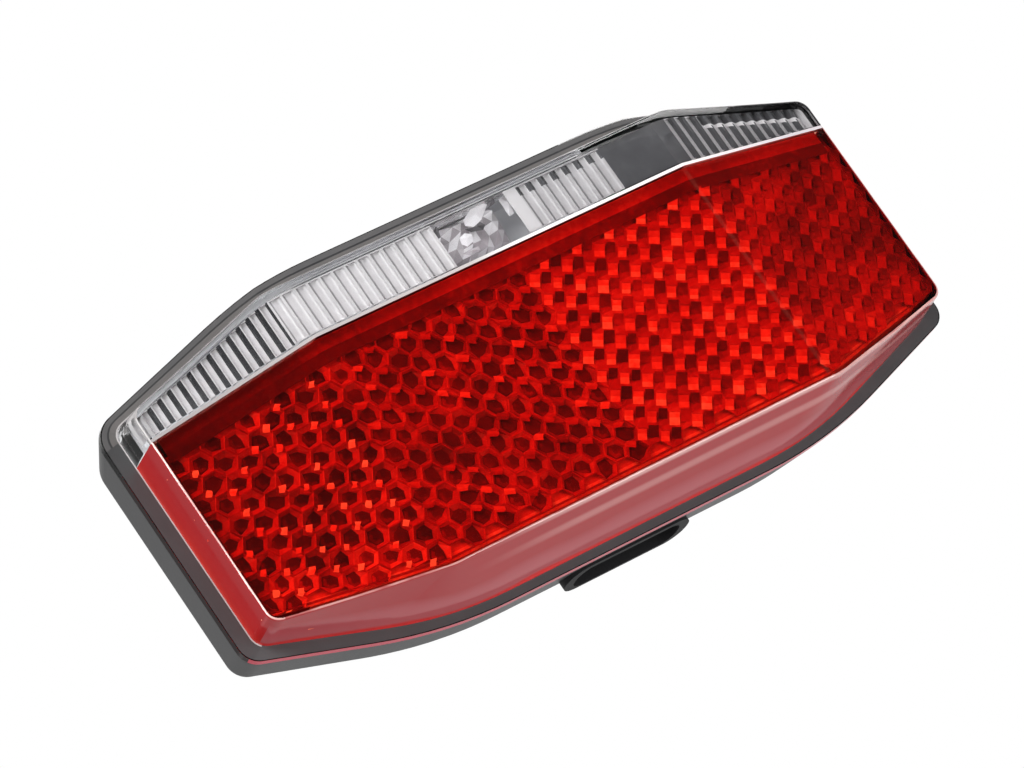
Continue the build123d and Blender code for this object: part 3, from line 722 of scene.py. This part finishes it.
def cubeCell(piece, at, rim, look, x, jitter):
    centre = at((0, 0), 1, panels["depth"])
    edge = [at(p) for p in rim]
    lastJoint = panels["joints"][2]
    if x > lastJoint:
        jitter -= look["fade"] * past(x, lastJoint, panels["endX"])
    # painted light and shade: the corner's three facets are toned by the way they face, and a dark square and
    # a bright square are a painted shade and a painted glint
    for first, tone in zip((2, 0, 4), look["facets"]):
        ring = [edge[(first + k) % len(edge)] for k in range(3)]
        piece.face(ring + [centre], tone + jitter)
    dark = look["left"] if x < look["leftTo"] else look["dark"]
    squareFacet(piece, at, look["darkAt"], look["size"], (dark, dark + cut["darkFold"]), jitter)
    squareFacet(piece, at, look["brightAt"], look["size"], look["bright"], jitter * cut["brightJitter"])


def buildCells(piece):
    radius = panels["pitchZ"] / math.sqrt(3)
    rim = [(radius * math.cos(k * math.pi / 3), radius * math.sin(k * math.pi / 3)) for k in range(6)]
    for i in range(panels["columns"]):
        for j in range(panels["rows"]):
            x = (i - (panels["columns"] - 1) / 2) * panels["pitchX"]
            z = topAt(x) - (j + 0.5 + 0.5 * (i % 2)) * panels["pitchZ"]
            if abs(x) > panels["endX"] or z < bottomAt(x) + panels["lowestCell"]:
                continue
            part = sum(x > joint for joint in panels["joints"])
            jitter = random.uniform(-1, 1) * panels["jitter"]
            # painted light: cells in the lowest rows are brightened
            if z < bottomAt(x) + panels["liftRows"]:
                jitter += (capped + cubes)[part]["lift"]

            def at(point, scale=1.0, depth=0.0, shift=(0, 0)):
                px = x + point[0] * scale + shift[0]
                return onPanel(px, max(bottomAt(px), z + point[1] * scale + shift[1]), depth)

            if part < len(capped):
                cappedCell(piece, at, rim, capped[part], jitter)
            else:
                cubeCell(piece, at, rim, cubes[part - len(capped)], x, jitter)


def borderTone(start, end):
    for (low, lowTone), (high, highTone) in zip(panels["borderStops"], panels["borderStops"][1:]):
        if start[0] < high:
            return lowTone + (highTone - lowTone) * (start[0] - low) / (high - low)
    return highTone


def buildPanels():
    random.seed(panels["seed"])
    piece = Moulding("reflexPanels")
    buildCells(piece)
    half = faceHalf - shape["lensWall"] - panels["sideGap"]
    steps = int(2 * half / panels["plateStep"])
    xs = [-half + 2 * half * i / steps for i in range(steps + 1)]
    under = panels["depth"] + panels["plateUnder"]
    rows = [[onPanel(x, topAt(x) - share * (topAt(x) - bottomAt(x)), under) for x in xs]
            for share in panels["plateShares"]]
    rows.append([onPanel(x, bottomAt(x) - panels["plateInset"], under) for x in xs])
    for upper, lower, tone in zip(rows, rows[1:], panels["plateTones"]):
        piece.strip(upper, lower, tone, closed=False)

    top, line, low = [[onPanel(x, start(x) + rise, panels["borderDepth"]) for x in xs] for start, rise in (
        (sillAt, panels["borderOver"]), (topAt, panels["borderLine"]), (topAt, -panels["borderLow"]))]
    piece.strip(top, line, borderTone, closed=False)
    piece.strip(line, low, lambda start, end: borderTone(start, end) * panels["lineShare"], closed=False)
    piece.made(toned("reflexRed", panels), "red_reflex", "reflector_prisms")


# Skirt: the red inner side behind the lens's walls, each level a height over the ledge and its tone; the
# tones rise to a painted glow at the foot
skirt = {
    "gap": 0.3, "levels": ((0.0, 1.0), (0.8, 0.75), (2.5, 0.5), (6.0, 0.42), (12.0, 0.4)),
    "stops": [(0.0, (0.05, 0.0, 0.002)), (0.4, (0.42, 0.02, 0.03)), (0.7, (0.8, 0.04, 0.03)),
              (1.0, (1.0, 0.12, 0.06))],
    "mottles": ((80, 2.0, 0.2),), "gloss": {"Roughness": 0.35},
}


def buildSkirt():
    piece = Moulding("reflexSkirt")
    inset = shape["lensWall"] + skirt["gap"]
    foot, face = outline("foot", inset), outline("face", inset)
    loops = []
    # the tones rise to a painted glow at the foot
    for rise, tone in skirt["levels"]:
        loop = []
        for low, high in zip(foot, face):
            start, end = ledgeAt(*low), faceAt(high[0]) - panelHeight
            share = min(1.0, rise / (end - start))
            loop.append(atHeight(low.lerp(high, share), start + (end - start) * share))
        loops.append((loop, tone))
    for (first, firstTone), (second, secondTone) in zip(loops, loops[1:]):
        for i in range(len(first)):
            j = (i + 1) % len(first)
            if all(point[2] < sillAt(point[0]) for point in (first[i], first[j])):
                piece.face([first[i], first[j], second[j], second[i]], (firstTone + secondTone) / 2)
    piece.made(toned("skirtRed", skirt), "red_reflex")


buildLedge()
buildOptic()
buildPanels()
buildSkirt()

view = {
    "place": (-0.4157, -0.6722, -0.2080), "right": (0.77521, -0.30893, -0.55101),
    "up": (0.37289, -0.48028, 0.79390), "forward": (0.50990, 0.82091, 0.25712),
    "lens": 220.4, "sensor": 36, "near": 0.01,
}


def placeCamera():
    data = bpy.data.cameras.new("camera")
    data.lens = view["lens"]
    data.sensor_width = view["sensor"]
    data.clip_start = view["near"]
    camera = bpy.data.objects.new("camera", data)
    turn = Matrix((view["right"], view["up"], [-c for c in view["forward"]])).transposed()
    camera.matrix_world = Matrix.Translation(view["place"]) @ turn.to_4x4()
    bpy.context.scene.collection.objects.link(camera)
    bpy.context.scene.camera = camera


placeCamera()
print("camera placed")

# Studio: lamps in metres and watts, those that are seen only add gloss; the world is white to the camera and
# has two darker zones that only reflections and light show
studio = {
    "lamps": (
        {"name": "keyLamp", "place": (-0.55, -0.75, 0.65), "size": 0.6, "power": 11.0, "seen": False},
        {"name": "fillLamp", "place": (0.5, -0.8, -0.2), "size": 0.7, "power": 5.0, "seen": False},
        {"name": "leftStrip", "place": (-0.55, -0.34, 0.18), "size": 0.4, "power": 5.0, "seen": True},
        {"name": "lowStrip", "place": (0.16, -0.08, -0.26), "size": 0.2, "power": 0.6, "seen": True},
    ),
    "background": 1.0, "around": 0.85,
    "dark": 0.04, "darkAcross": (-0.25, 0.0), "darkAlong": (0.25, 0.5), "darkRise": (-0.35, -0.05),
    "leftDark": 0.35, "leftAcross": (0.25, 0.45), "leftAlong": (0.5, 0.7), "leftRise": (0.0, 0.2),
}


def hangLamps():
    for lamp in studio["lamps"]:
        data = bpy.data.lights.new(lamp["name"], "AREA")
        data.shape = "DISK"
        data.size = lamp["size"]
        data.energy = lamp["power"]
        thing = bpy.data.objects.new(lamp["name"], data)
        thing.location = Vector(lamp["place"])
        thing.rotation_euler = (-thing.location).to_track_quat("-Z", "Y").to_euler()
        thing.visible_camera = False
        thing.visible_glossy = lamp["seen"]
        thing.visible_diffuse = not lamp["seen"]
        thing.visible_transmission = False
        bpy.context.scene.collection.objects.link(thing)


def buildWorld():
    sky = Finish("studioWorld", bpy.data.worlds.new("studioWorld"))
    across, along, rise = sky.axes(sky.out(sky.node("ShaderNodeTexCoord"), "Generated"))
    shade = across.smooth(*studio["darkAcross"]) * (along * -1).smooth(*studio["darkAlong"])
    shade = shade * rise.smooth(*studio["darkRise"])
    leftShade = (across * -1).smooth(*studio["leftAcross"]) * along.smooth(*studio["leftAlong"])
    leftShade = leftShade * rise.smooth(*studio["leftRise"])
    surround = studio["around"] - shade * (studio["around"] - studio["dark"])
    surround = surround - leftShade * (studio["around"] - studio["leftDark"])
    seen = sky.out(sky.node("ShaderNodeLightPath"), "Is Camera Ray")
    strength = surround + seen * (studio["background"] - surround)
    shine = sky.node("ShaderNodeBackground", {}, {"Color": rgba((1, 1, 1)), "Strength": strength})
    sky.node("ShaderNodeOutputWorld", {}, {"Surface": sky.out(shine, "Background")})
    bpy.context.scene.world = sky.material


floorLook = {"size": 12.0, "drop": 0.9, "tone": 0.9, "toneSpread": 0.02, "mottle": (4, 2.0),
             "roughness": 0.8}


def buildFloor():
    half = floorLook["size"] / 2
    mesh = bpy.data.meshes.new("studioFloor")
    points = [(half * a, half * b, 0) for a, b in ((-1, -1), (1, -1), (1, 1), (-1, 1))]
    mesh.from_pydata(points, [], [(0, 1, 2, 3)])
    f = Finish("floorPale")
    low, high = (floorLook["tone"] - floorLook["toneSpread"],) * 3, (floorLook["tone"],) * 3
    colour = f.ramp(f.noise(*floorLook["mottle"]), [(0.0, low), (1.0, high)])
    shader = f.principled({"Base Color": colour, "Roughness": floorLook["roughness"]})
    mesh.materials.append(f.surface(shader))
    floor = bpy.data.objects.new("studioFloor", mesh)
    floor.location.z = -floorLook["drop"]
    bpy.context.scene.collection.objects.link(floor)


hangLamps()
buildWorld()
buildFloor()
print("studio lit")

glassBounces, glossBounces = 16, 8
scene = bpy.context.scene
scene.view_settings.view_transform = "Standard"
scene.cycles.max_bounces = glassBounces
scene.cycles.transmission_bounces = glassBounces
scene.cycles.transparent_max_bounces = glassBounces
scene.cycles.glossy_bounces = glossBounces
